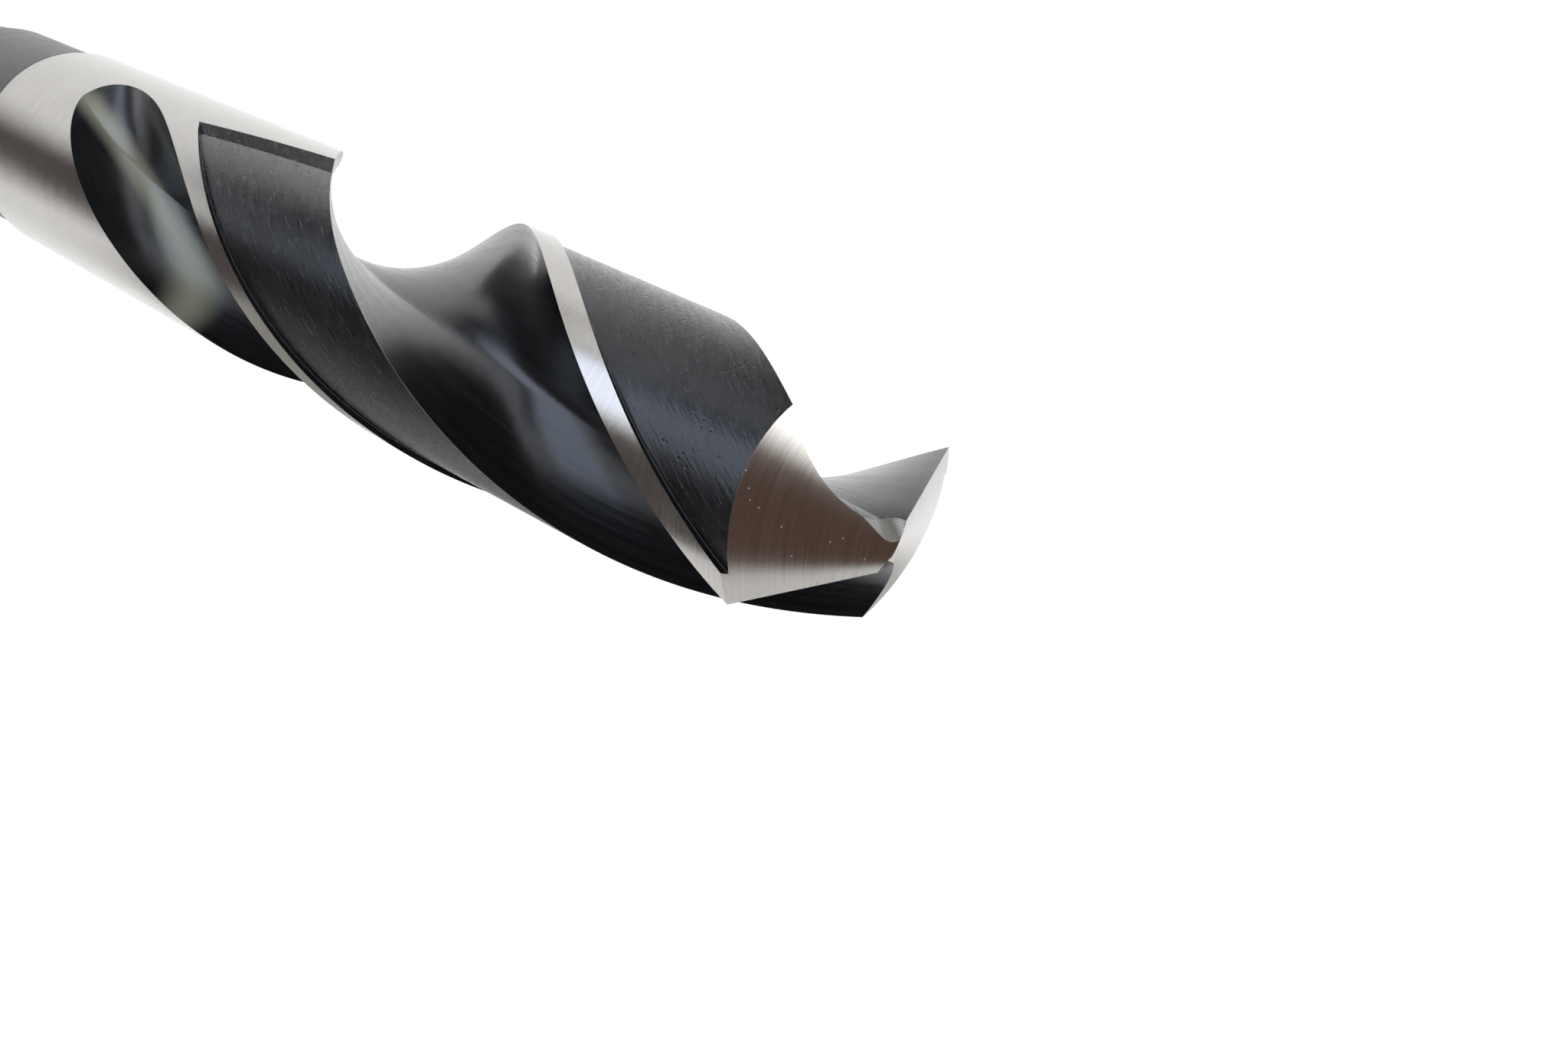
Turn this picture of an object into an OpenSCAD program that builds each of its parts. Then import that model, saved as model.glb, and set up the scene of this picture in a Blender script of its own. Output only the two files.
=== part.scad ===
// Reduced shank twist drill, two flutes, right hand, split point.
// The drill stands on the end face of its shank, with the point up +Z.
// Corner 1, the outer end of the first cutting lip, lies on +X.

/* [Body] */
// Diameter over the two margins
body_d = 14.3; // [11.9:0.1:17.2]
// Length from the shank end to the chisel edge
overall_l = 152; // [126:1:185]
// Length of plain ground body behind the flute run-out
plain_l = 8.2; // [4:0.1:14]

/* [Flutes] */
// Length from the outer corners back to the end of the flute run-out
flute_l = 70.8; // [59:0.1:85]
// Helix angle at the margin
helix_angle = 30; // [25:1:36]
// Web thickness at the point
web_t = 1.8; // [1.5:0.1:2.4]
// Growth of the web from the point to the start of the run-out
web_gain = 0.8; // [0:0.1:1.4]
// Angle that one land covers at the full diameter
land_angle = 80; // [72:1:86]
// Radius of the hollow on the heel side of a flute
heel_r = 7; // [5.8:0.1:9]
// Distance from the axis where the flute floor blends into the heel side
floor_r = 1.4; // [1.3:0.05:2.2]
// Bearing of that blend, from the first corner
floor_bearing = 92; // [88:1:101]
// How far the heel side closes in towards the end of the flute
narrowing = 2.6; // [0:0.1:3]
// Length over which the heel side closes in
narrowing_l = 25; // [15:1:30]
// How far ahead of the run-out the heel side begins to close in
narrowing_lead = 16; // [8:1:24]
// Length of the run-out, where the wheel climbs out of the flute
runout_l = 20.7; // [15:0.1:25]

/* [Lands] */
// Width of the margin, measured round the body
margin_w = 1.4; // [0.9:0.1:2]
// Depth of the body clearance just behind the margin
clearance_depth = 0.32; // [0.15:0.01:0.45]
// Further depth of the body clearance at the heel
clearance_fall = 0.2; // [0:0.01:0.35]
// Where the clearance ends beside the margin, ahead of the end of the run-out
clearance_stop = 12.8; // [10:0.1:18]
// How much sooner the clearance ends at the heel
clearance_slant = 12; // [6:0.5:18]

/* [Point] */
// Point angle over the two lips
point_angle = 126; // [118:1:135]
// Half angle of the cone that each flank is ground to
flank_cone_angle = 58.5; // [54:0.5:60]
// Distance of the tip of that cone past the axis of the drill
flank_cone_past = 1.65; // [1.2:0.05:3.5]
// Fall of the flank behind the lip
relief_angle = 5.2; // [4:0.1:9]
// Length of the chisel edge left between the two notches
chisel_l = 0.8; // [0.6:0.05:1.4]
// Direction of the notch, seen on the point from the first corner
notch_heading = 49; // [42:1:56]
// Slope of the bottom of the notch
notch_slope = 55; // [48:1:62]
// Angle between the two walls of the notch
notch_angle = 88; // [75:1:95]
// Radius in the bottom of the notch
notch_r = 0.9; // [0.4:0.05:1.2]

/* [Neck and shank] */
// Step from the ground body down to the dark neck
neck_step = 0.3; // [0.1:0.05:1]
// Length of the neck
neck_l = 11.8; // [6:0.1:16]
// Diameter of the shank
shank_d = 12.7; // [10:0.1:13]
// Length of the cone from the neck down to the shank
taper_l = 4.2; // [2:0.1:8]
// Bevel on the rear edge of the ground body
shoulder_bevel = 0.25; // [0.1:0.05:0.3]
// Bevel on the end of the shank
end_bevel = 0.8; // [0.3:0.1:1.5]

/* [Hidden] */
$fn = 96;

// Number of steps along each side of a section, and turn between two sections
RAKE_STEPS = 9;
FLOOR_STEPS = 4;
HEEL_STEPS = 7;
CLEARANCE_STEPS = 8;
RUNOUT_STEPS = 16;
STATION_TURN = 6;

// How far the cutters reach past the blank, as shares of the body radius, degrees and mm
RAKE_OVERRUN = 1.12;
HEEL_OVERRUN = 18;
SIDE_OUT = 1.3;
MID_OUT = 1.5;
CUT_OVER = 0.6;

// Where the cutting face starts beside the axis, as a share of the body radius,
// and how strongly its steps crowd there
ROOT = 0.05;
CROWD = 1.3;

body_r = body_d / 2;
lead = PI * body_d / tan(helix_angle);
turn_per_mm = 360 / lead;
half_web = web_t / 2;
half_point = point_angle / 2;
margin_turn = margin_w / body_r * 180 / PI;

// The lip is a straight line half a web ahead of the axis, from the outer corner in.
lip_run = sqrt(body_r * body_r - half_web * half_web);
lip_turn = asin(half_web / body_r);

// Flank cone: the lip lies on it, and its axis leans so that the flank falls behind the lip.
lip_in = [-sin(half_point), 0, cos(half_point)];
lip_back = [0, -cos(relief_angle), -sin(relief_angle)];
flank_out = unit(cross(lip_in, lip_back));
cone_tip = [lip_run, half_web, 0] + (lip_run + flank_cone_past) / sin(half_point) * lip_in;
cone_axis = -lip_in * cos(flank_cone_angle) - flank_out * sin(flank_cone_angle);

// Height of the chisel edge above the outer corners, where the axis meets the flank cone.
foot = -[cone_tip.x, cone_tip.y];
foot_along = foot.x * cone_axis.x + foot.y * cone_axis.y;
quad_a = pow(cone_axis.z, 2) - pow(cos(flank_cone_angle), 2);
quad_b = foot_along * cone_axis.z;
quad_c = pow(foot_along, 2) - pow(cos(flank_cone_angle), 2) * (foot * foot);
point_h = cone_tip.z - (quad_b + sqrt(quad_b * quad_b - quad_a * quad_c)) / quad_a;

corner_z = overall_l - point_h;
shoulder_z = corner_z - flute_l - plain_l;
neck_z = shoulder_z - neck_l;
shank_l = neck_z - taper_l;
neck_r = body_r - neck_step;

// Heel side of the flute: an arc through the heel corner and the edge of the flute floor.
heel_corner = polar(body_r, 180 - land_angle);
floor_edge = polar(floor_r, floor_bearing);
heel_chord = heel_corner - floor_edge;
heel_centre = (heel_corner + floor_edge) / 2
    + unit([heel_chord.y, -heel_chord.x]) * sqrt(heel_r * heel_r - heel_chord * heel_chord / 4);
heel_from = bearing(floor_edge - heel_centre);
heel_to = bearing(heel_corner - heel_centre) - HEEL_OVERRUN;
flute_mid = (180 - land_angle) / 2;

function unit(v) = v / norm(v);
function polar(r, a) = [r * cos(a), r * sin(a)];
function bearing(p) = (atan2(p.y, p.x) + 360) % 360;
function turned(p, a) = [p.x * cos(a) - p.y * sin(a), p.x * sin(a) + p.y * cos(a)];
function part(u) = min(1, max(0, u));
function ease(u) = let (v = part(u)) v * v * (3 - 2 * v);
function side(p) = [p.y, -p.x];

// Where the line from a along u meets the line from b along v
function meet(a, u, b, v) = a + u * ((side(v) * (b - a)) / (side(v) * u));

// Point of a quadratic curve from a to c, pulled towards b
function curve(a, b, c, t) = (1 - t) * (1 - t) * a + 2 * t * (1 - t) * b + t * t * c;

// Cutting face at distance x along the lip, carried along the helix into the plane of the corners.
// web is half the web thickness at this station.
function rake_point(x, web) =
    let (rise = (lip_run - x) / tan(half_point))
    polar(norm([x, web]), atan2(web, x) - asin(web / body_r) - rise * turn_per_mm);

// Outline of the space that the flute wheel sweeps, in the plane of the corners
function flute_outline(web) =
    let (
        root = ROOT * body_r,
        reach = RAKE_OVERRUN * body_r,
        floor_end = rake_point(root, web),
        floor_dir = floor_end - rake_point(2 * root, web),
        heel_dir = -side(floor_edge - heel_centre),
        floor_mid = meet(floor_edge, heel_dir, floor_end, floor_dir)
    )
    concat(
        [polar(MID_OUT * body_r, flute_mid)],
        [for (i = [0 : HEEL_STEPS])
            heel_centre + polar(heel_r, heel_to + (heel_from - heel_to) * i / HEEL_STEPS)],
        [for (i = [1 : FLOOR_STEPS]) curve(floor_edge, floor_mid, floor_end, i / FLOOR_STEPS)],
        [for (i = [1 : RAKE_STEPS])
            rake_point(root + (reach - root) * pow(i / RAKE_STEPS, CROWD), web)],
        [polar(SIDE_OUT * body_r, flute_mid / 3)]
    );

// The wheel leaves the heel side early and gently.
// In the run-out it climbs on an arc until it is clear of the body.
full_l = flute_l - runout_l;
narrow_from = full_l - narrowing_lead;
side_spread = 75;
rake_drift = 0.15 * body_r;
rake_climb = 0.85 * body_r;
heel_climb = 0.4 * body_r;

function wheel_shift(depth) =
    let (
        run = part((depth - full_l) / runout_l),
        climb = 1 - sqrt(1 - run * run),
        off_rake = rake_drift * run + rake_climb * climb,
        off_heel = narrowing * ease((depth - narrow_from) / narrowing_l) + heel_climb * climb
    )
    [(off_heel - off_rake * cos(side_spread)) / sin(side_spread), off_rake];

// One section of the flute sweep, depth mm behind the outer corners
function flute_section(depth) =
    let (
        web = half_web + web_gain / 2 * part(depth / full_l),
        shift = wheel_shift(depth)
    )
    [for (p = flute_outline(web)) let (q = turned(p + shift, -depth * turn_per_mm))
        [q.x, q.y, corner_z - depth]];

flute_start = -(point_h + CUT_OVER);
full_steps = ceil((full_l - flute_start) * turn_per_mm / STATION_TURN);

flute_sections = concat(
    [for (i = [0 : full_steps]) flute_section(flute_start + (full_l - flute_start) * i / full_steps)],
    [for (i = [1 : RUNOUT_STEPS]) flute_section(full_l + runout_l * sin(90 * i / RUNOUT_STEPS))]
);

// Body clearance: the land behind the margin stands below the full radius.
// It ends in a short ramp, on a slanting line across the land.
clearance_l = flute_l - clearance_stop;
clearance_ramp = 2.4;
clearance_over = 0.5;
past_heel = 12;
heel_turn = land_angle + past_heel;
clearance_steps = ceil((clearance_l - flute_start) * turn_per_mm / STATION_TURN);

// Columns run from the margin to the heel, with one point outside the blank before and after them.
// The last station lifts every column clear of the blank.
function clearance_point(column, station) =
    let (
        u = part(column / CLEARANCE_STEPS),
        across = margin_turn + (heel_turn - margin_turn) * u,
        ends = clearance_l - clearance_slant * (across - margin_turn) / (land_angle - margin_turn),
        lifted = station > clearance_steps,
        run = ends - clearance_ramp - flute_start,
        depth = lifted ? ends : flute_start + run * station / clearance_steps,
        ground = body_r - clearance_depth - clearance_fall * u,
        outside = column < 0 || column > CLEARANCE_STEPS,
        r = outside ? body_r + 2 * clearance_over : lifted ? body_r + clearance_over : ground,
        p = polar(r, -across - depth * turn_per_mm)
    )
    [p.x, p.y, corner_z - depth];

// The section closes over a point well outside the middle of the land.
function clearance_section(station) =
    let (
        mid = clearance_point(CLEARANCE_STEPS / 2, station),
        far = unit([mid.x, mid.y]) * SIDE_OUT * body_r
    )
    concat(
        [[far.x, far.y, mid.z]],
        [for (column = [-1 : CLEARANCE_STEPS + 1]) clearance_point(column, station)]
    );

clearance_sections = [for (station = [0 : clearance_steps + 1]) clearance_section(station)];

// Solid through a list of sections that all have as many points
module skin(sections) {
    n = len(sections[0]);
    last = len(sections) - 1;
    points = [for (s = sections) each s];
    sides = [for (i = [0 : last - 1], j = [0 : n - 1])
        let (a = i * n + j, b = i * n + (j + 1) % n)
        each [[a, b, b + n], [a, b + n, a + n]]];
    first_cap = [for (j = [1 : n - 2]) [0, j + 1, j]];
    last_cap = [for (j = [1 : n - 2]) [last * n, last * n + j, last * n + j + 1]];
    polyhedron(points = points, faces = concat(sides, first_cap, last_cap));
}

// Turned and ground blank: shank, cone, neck and body
module blank() {
    rotate_extrude()
        polygon([
            [0, 0],
            [shank_d / 2 - end_bevel, 0],
            [shank_d / 2, end_bevel],
            [shank_d / 2, shank_l],
            [neck_r, neck_z],
            [neck_r, shoulder_z],
            [body_r - shoulder_bevel, shoulder_z],
            [body_r, shoulder_z + shoulder_bevel],
            [body_r, overall_l + CUT_OVER],
            [0, overall_l + CUT_OVER]
        ]);
}

// Everything under the cone that one flank is ground to
module flank_cone() {
    cone_h = 1.3 * overall_l;
    rotate([0, 0, -lip_turn])
        translate([0, 0, corner_z])
            translate(cone_tip)
                rotate([0, acos(cone_axis.z), atan2(cone_axis.y, cone_axis.x)])
                    cylinder(h = cone_h, r1 = 0, r2 = cone_h * tan(flank_cone_angle));
}

// Notch that thins the web: a V with a rounded bottom, which starts at one end of the chisel edge.
// It is turned a little so that the wall on the lip side stays short.
module notch() {
    reach = 3;
    turned_by = 12;
    middle = notch_angle / 2;
    centre = polar(notch_r, middle - turned_by);
    apex = centre - polar(notch_r / sin(middle), middle);
    flat = notch_r / tan(middle);
    rotate([0, 0, notch_heading - lip_turn])
        translate([chisel_l / 2, 0, overall_l])
            rotate([0, 90 + notch_slope, 0])
                rotate([0, 0, 90])
                    linear_extrude(height = 2 * reach, center = true) {
                        polygon([
                            apex + polar(flat, 0),
                            apex + polar(reach, 0),
                            apex + polar(reach, notch_angle),
                            apex + polar(flat, notch_angle)
                        ]);
                        translate(centre) circle(r = notch_r);
                    }
}

module drill_bit() {
    color("silver")
        difference() {
            intersection() {
                blank();
                flank_cone();
                rotate([0, 0, 180]) flank_cone();
            }
            for (a = [0, 180])
                rotate([0, 0, a]) {
                    skin(flute_sections);
                    skin(clearance_sections);
                    notch();
                }
        }
}

drill_bit();
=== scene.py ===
"""Looks of a reduced shank twist drill: its ground and blackened surfaces, and a plain studio.

The drill stands on its shank end at the origin with its point up. Lengths are in metres and angles
in radians, as Blender has them. The first cutting lip ends at its outer corner on +X.
"""

import math

import bmesh
import bpy
from bpy.props import FloatProperty, FloatVectorProperty, PointerProperty
from mathutils import Euler, Matrix, Vector


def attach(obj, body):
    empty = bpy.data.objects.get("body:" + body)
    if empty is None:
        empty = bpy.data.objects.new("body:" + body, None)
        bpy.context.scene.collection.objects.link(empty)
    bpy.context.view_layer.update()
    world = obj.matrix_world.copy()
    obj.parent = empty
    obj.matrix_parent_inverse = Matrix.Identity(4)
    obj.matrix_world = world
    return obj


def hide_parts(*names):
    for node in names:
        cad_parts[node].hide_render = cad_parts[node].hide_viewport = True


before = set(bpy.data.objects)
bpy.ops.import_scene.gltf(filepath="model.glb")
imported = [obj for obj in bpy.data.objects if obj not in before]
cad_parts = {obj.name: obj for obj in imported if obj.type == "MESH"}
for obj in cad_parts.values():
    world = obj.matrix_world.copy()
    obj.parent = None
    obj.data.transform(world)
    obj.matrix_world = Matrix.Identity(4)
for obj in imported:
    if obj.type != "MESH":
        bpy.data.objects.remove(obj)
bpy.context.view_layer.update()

bl_info = {
    "name": "Reduced shank twist drill",
    "version": (1, 0, 0),
    "blender": (4, 5, 0),
    "location": "3D View > Sidebar > Twist Drill",
    "description": "Builds a twist drill with ground and blackened surfaces, and a studio round it",
    "category": "Add Mesh",
}

MM = 0.001

# Steps of the swept surfaces. They are fine enough for clean reflections.
TURNED_SEGMENTS = 720
FLANK_SEGMENTS = 1440
NOTCH_SEGMENTS = 24
HEEL_STEPS = 26
FLOOR_STEPS = 12
RAKE_STEPS = 28
FLUTE_STATIONS = 190
CLEARANCE_COLUMNS = 14
CLEARANCE_STATIONS = 130
SCREEN_STEPS = 24

# Points closer than this are one
SAME_PLACE = 1e-7

# Bend between two faces from which their edge stays sharp
CRISP_BEND = math.radians(14)

# How far the cutters reach past the blank: shares of the body radius, an angle and a length
RAKE_OVERRUN = 1.12
HEEL_OVERRUN = math.radians(18)
SIDE_OUT = 1.3
MID_OUT = 1.5
CUT_OVER = 0.6 * MM

# Where the cutting face starts beside the axis, as a share of the body radius,
# and how strongly its steps crowd there
ROOT = 0.05
CROWD = 1.3

# How the flute wheel climbs out of a run-out: the part of its way off the cutting face that it
# goes at an even rate, its way off the heel side as a share of the body radius, and the angle
# between those two sides
EVEN_CLIMB = 0.15
HEEL_CLIMB = 0.4
SIDES_ANGLE = math.radians(75)

# Body clearance: its ramp at the end, how far that rises over the body, how far its cutter
# reaches past the heel, and how far the cutter's rims stand off the body
RAMP_L = 2.4 * MM
RAMP_OUT = 0.5 * MM
PAST_HEEL = math.radians(12)
RIM_OUT = 1 * MM

# Height of a flank cone, as a share of the overall length
CONE_TALL = 1.3

# Notch wheel: how far it reaches, and where the chisel edge ends on its rounded rim, as an angle
# off the rim's middle
NOTCH_REACH = 3 * MM
NOTCH_TOUCH = math.radians(12)

# Painted highlight in a run-out: a light olive streak set into the base colour along its bottom,
# where the concave flute reflects a line of light. How far it lies ahead of the middle of the
# flute, and how fast it turns about the axis, in radians by the square of the metres from the end
# of the flute. Then half its width, and where it fades out, from the end of the flute.
STREAK_AHEAD = math.radians(18)
STREAK_CURL = 5286
STREAK_HALF = 1.3 * MM
STREAK_FADE = (18 * MM, 25 * MM)

# Rubbed edges: the radius within which an edge counts, and the cosines of the bend where the
# wear starts and where it is full
EDGE_WEAR = 0.07 * MM
EDGE_BEND = (0.96, 0.8)

# Pits in the body clearance and specks of dust on the flanks: where their rims start and end, as
# shares of their spacing. Then how rough a speck is.
PIT_RIM = (0.05, 0.22)
SPECK_RIM = (0.04, 0.08)
SPECK_ROUGH = 0.75

# Floor: half its side in metres, and the part of its white that is its own
FLOOR_HALF = 3
FLOOR_GLOW = 0.3

# Half the side of the overhead card, and the edges of that card and of the dark screen. An edge is
# the bearing in degrees that the card lies towards, and the distances that way from the axis, in
# millimetres, where the card starts and where it is whole.
OVERHEAD_HALF = 400 * MM
OVERHEAD_EDGES = ((45, -190, -85), (-33, -60, -20), (-135, -107, -75))
SCREEN_EDGES = ((-50, -230, -150),)

# The screen's radius and height, its first and last bearing in degrees, and the heights between
# which it fades in at the bottom and out at the top
SCREEN_R, SCREEN_TOP = 400 * MM, 430 * MM
SCREEN_TURN = (-178, 78)
SCREEN_FADE_IN = (40 * MM, 80 * MM)
SCREEN_FADE_OUT = (330 * MM, 430 * MM)

# Cards close over the floor: name, colour, half side and height in millimetres, and edges
FLOOR_CARDS = (
    # The room in front, which the lower side reflects
    ("front_card", "low_colour", 300, 3, ((57, -26, 2), (-66, -2, 28), (-40, 0, 10), (180, -240, -200))),
    # A window, which gives the bluish streak on the first land and in the flute
    ("window_card", "window_colour", 600, 4, ((15, -20, 5), (-133, -5, 20), (-59, 82, 105))),
    # Grey behind the drill, which its lower edges reflect
    ("back_card", "back_colour", 300, 1, ((50, 46, 70), (-130, -138, -105))),
    # A dark place beside the foot, which the second land reflects
    ("foot_card", "screen_colour", 200, 2.5, ((-75, 58, 69), (105, -118, -98), (0, -70, 10))),
    # A dark strip beside the window, which gives the first land its darkest band
    ("stripe_card", "screen_colour", 300, 5, ((0, 4, 18), (180, -46, -30), (-90, 128, 142))),
    # The dark side of the room, which the flute reflects
    ("left_card", "screen_colour", 900, 2, ((-135, 120, 200), (180, 10, 50))),
)

# Nearest and farthest that the camera sees, in metres, and the width of its sensor in millimetres
CLIP = (0.005, 20)
SENSOR = 36

# Material slots of the drill, in order
TURNED, FLUTE, LAND, FLANK, NOTCH, NECK = range(6)


def length(name, description, millimetres):
    """A length of the drill or the studio, from millimetres."""
    return FloatProperty(
        name=name,
        description=description,
        default=millimetres * MM,
        min=0,
        unit="LENGTH",
        precision=5,
    )


def angle(name, description, degrees):
    """An angle of the drill or the studio, from degrees."""
    return FloatProperty(
        name=name, description=description, default=math.radians(degrees), subtype="ANGLE"
    )


def linear(code):
    """Linear colour, with alpha, of an sRGB hex code."""
    parts = [int(code[i : i + 2], 16) / 255 for i in (0, 2, 4)]
    return [p / 12.92 if p <= 0.04045 else ((p + 0.055) / 1.055) ** 2.4 for p in parts] + [1]


def colour(name, description, code):
    """A colour of the drill or the studio, from its sRGB hex code."""
    return FloatVectorProperty(
        name=name,
        description=description,
        subtype="COLOR",
        size=4,
        min=0,
        max=1,
        default=linear(code),
    )


class DrillSizes(bpy.types.PropertyGroup):
    """Sizes of the drill."""

    body_d: length("Body diameter", "Diameter over the two margins", 14.3)
    overall_l: length("Overall length", "From the shank end to the chisel edge", 152)
    plain_l: length("Plain body", "Plain ground body behind the flute run-out", 8.2)
    flute_l: length("Flute length", "From the corners back to the end of the run-out", 70.8)
    helix_angle: angle("Helix angle", "Helix angle at the margin", 30)
    web_t: length("Web", "Web thickness at the point", 1.8)
    web_gain: length("Web gain", "Growth of the web from the point to the run-out", 0.8)
    land_angle: angle("Land", "Angle that one land covers at the full diameter", 80)
    heel_r: length("Heel hollow", "Radius of the hollow on the heel side of a flute", 7)
    floor_r: length("Floor radius", "Where the flute floor meets the heel side, from the axis", 1.4)
    floor_bearing: angle("Floor bearing", "Bearing of that place, from the first corner", 92)
    narrowing: length("Narrowing", "How far the heel side closes in towards the flute end", 2.6)
    narrowing_l: length("Narrowing length", "Length over which the heel side closes in", 25)
    narrowing_lead: length("Narrowing lead", "How far ahead of the run-out that begins", 16)
    runout_l: length("Run-out", "Length where the wheel climbs out of the flute", 20.7)
    margin_w: length("Margin", "Width of the margin, measured round the body", 1.4)
    clearance_depth: length("Clearance", "Depth of the body clearance behind the margin", 0.32)
    clearance_fall: length("Clearance fall", "Further depth of the clearance at the heel", 0.2)
    clearance_stop: length("Clearance stop", "Where the clearance ends beside the margin", 12.8)
    clearance_slant: length("Clearance slant", "How much sooner the clearance ends at the heel", 12)
    point_angle: angle("Point angle", "Angle over the two lips", 126)
    flank_cone_angle: angle("Flank cone", "Half angle of the cone that a flank is ground to", 58.5)
    flank_cone_past: length("Cone past axis", "Distance of the cone's tip past the axis", 1.65)
    relief_angle: angle("Lip relief", "Fall of the flank behind the lip", 5.2)
    chisel_l: length("Chisel edge", "Length left between the two notches", 0.8)
    notch_heading: angle("Notch heading", "Direction of the notch, seen on the point", 49)
    notch_slope: angle("Notch slope", "Slope of the bottom of the notch", 55)
    notch_angle: angle("Notch angle", "Angle between the two walls of the notch", 88)
    notch_r: length("Notch radius", "Radius in the bottom of the notch", 0.9)
    neck_step: length("Neck step", "Step from the ground body down to the dark neck", 0.3)
    neck_l: length("Neck", "Length of the neck", 11.8)
    shank_d: length("Shank diameter", "Diameter of the plain shank", 12.7)
    taper_l: length("Taper", "Length of the cone from the neck to the shank", 4.2)
    shoulder_bevel: length("Shoulder bevel", "Bevel on the rear edge of the ground body", 0.25)
    end_bevel: length("End bevel", "Bevel on the end of the shank", 0.8)


class DrillFinishes(bpy.types.PropertyGroup):
    """Colours and grinding marks of the drill."""

    steel: colour("Ground steel", "Freshly ground high speed steel", "B9B6B2")
    steel_shade: colour("Steel in the marks", "Steel in the bottom of a grinding mark", "ADABA8")
    steel_notch: colour("Notch steel", "Coarser ground steel of the notches, paler", "E4E2DE")
    oxide: colour("Black oxide", "Black oxide on the polished flutes", "0E0F12")
    oxide_land: colour("Oxide on the land", "Black oxide over the rougher body clearance", "121317")
    oxide_shade: colour("Oxide in the marks", "Black oxide in pits and scratches", "08090A")
    # Painted highlight: this olive colour is laid along the bottom of the run-outs, where the concave
    # flute reflects a line of light
    streak_highlight: colour("Worn oxide", "Thin olive oxide along the bottom of the run-outs", "75776A")
    edge_worn: colour("Worn edges", "Steel where the oxide is rubbed off an edge", "77756F")
    oxide_sheen: colour("Oxide sheen", "Cold tint of what the oxide reflects", "F3F8FF")
    turned_mark: length("Turned marks", "Spacing of the marks round the ground cylinders", 0.09)
    flank_mark: length("Flank marks", "Spacing of the marks on the flanks", 0.05)
    speck_gap: length("Specks", "Spacing of the specks of dust on the flanks", 0.7)
    flute_mark: length("Flute marks", "Spacing of the polishing marks along the flutes", 0.25)
    land_mark: length("Land marks", "Spacing of the ridges on the body clearance", 0.2)
    pit_gap: length("Pits", "Spacing of the pits in the body clearance", 0.55)
    neck_mark: length("Neck marks", "Spacing of the turning marks on the neck", 0.14)


class DrillStudio(bpy.types.PropertyGroup):
    """Camera, floor, cards and light."""

    lens: FloatProperty(
        name="Lens", description="Focal length in millimetres", default=43.56, min=1, unit="CAMERA"
    )
    camera_place: FloatVectorProperty(
        name="Camera place",
        description="Where the camera stands",
        subtype="TRANSLATION",
        default=(43.82 * MM, -50.43 * MM, 202.71 * MM),
    )
    camera_turn: FloatVectorProperty(
        name="Camera turn",
        description="How the camera is turned",
        subtype="EULER",
        default=(math.radians(-27.537), math.radians(-42.797), math.radians(167.477)),
    )
    floor_colour: colour("Floor", "Plain pale floor", "E6E6E6")
    overhead_colour: colour("Overhead card", "Brown card that the flanks reflect", "675349")
    low_colour: colour("Low card", "Grey brown card that the lower side reflects", "5F5956")
    screen_colour: colour("Dark screen", "Dark screen and cards that the oxide reflects", "303131")
    back_colour: colour("Back card", "Grey card behind, seen in the lower edges", "A9A7A3")
    window_colour: colour("Window", "Cold light of a window, which the oxide reflects", "E4EEFF")
    window_strength: FloatProperty(
        name="Window strength",
        description="Brightness of the window, where white is 1",
        default=2.4,
        min=0,
    )
    card_height: length("Card height", "Height of the overhead card over the floor", 400)
    key_strength: FloatProperty(
        name="Key", description="Brightness of the soft box, where white is 1", default=2.2, min=0
    )
    box_side: length("Soft box", "Side of the soft box", 300)
    box_away: length("Soft box distance", "How far it hangs from the place that it faces", 450)
    box_aim: length("Soft box aim", "Height of that place on the axis", 140)
    box_bearing: angle("Soft box bearing", "Where it hangs, seen from above", -125)
    box_rise: angle("Soft box rise", "How steeply its light falls", 48)


def polar(radius, bearing):
    """Point of the plan at a distance and a bearing."""
    return Vector((radius * math.cos(bearing), radius * math.sin(bearing)))


def plan(degrees):
    """Level direction at a bearing in degrees."""
    return polar(1, math.radians(degrees)).to_3d()


def bearing_of(point):
    """Bearing of a point of the plan, from 0 to a full turn."""
    return math.atan2(point.y, point.x) % math.tau


def turned(point, by):
    """Point of the plan, turned about the axis."""
    return Matrix.Rotation(by, 2) @ point


def side(direction):
    """Direction at right angles, to the right."""
    return Vector((direction.y, -direction.x))


def clamp(share):
    """Share held between 0 and 1."""
    return min(1, max(0, share))


def ease(share):
    """Share from 0 to 1 that starts and ends gently."""
    eased = clamp(share)
    return eased * eased * (3 - 2 * eased)


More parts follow.
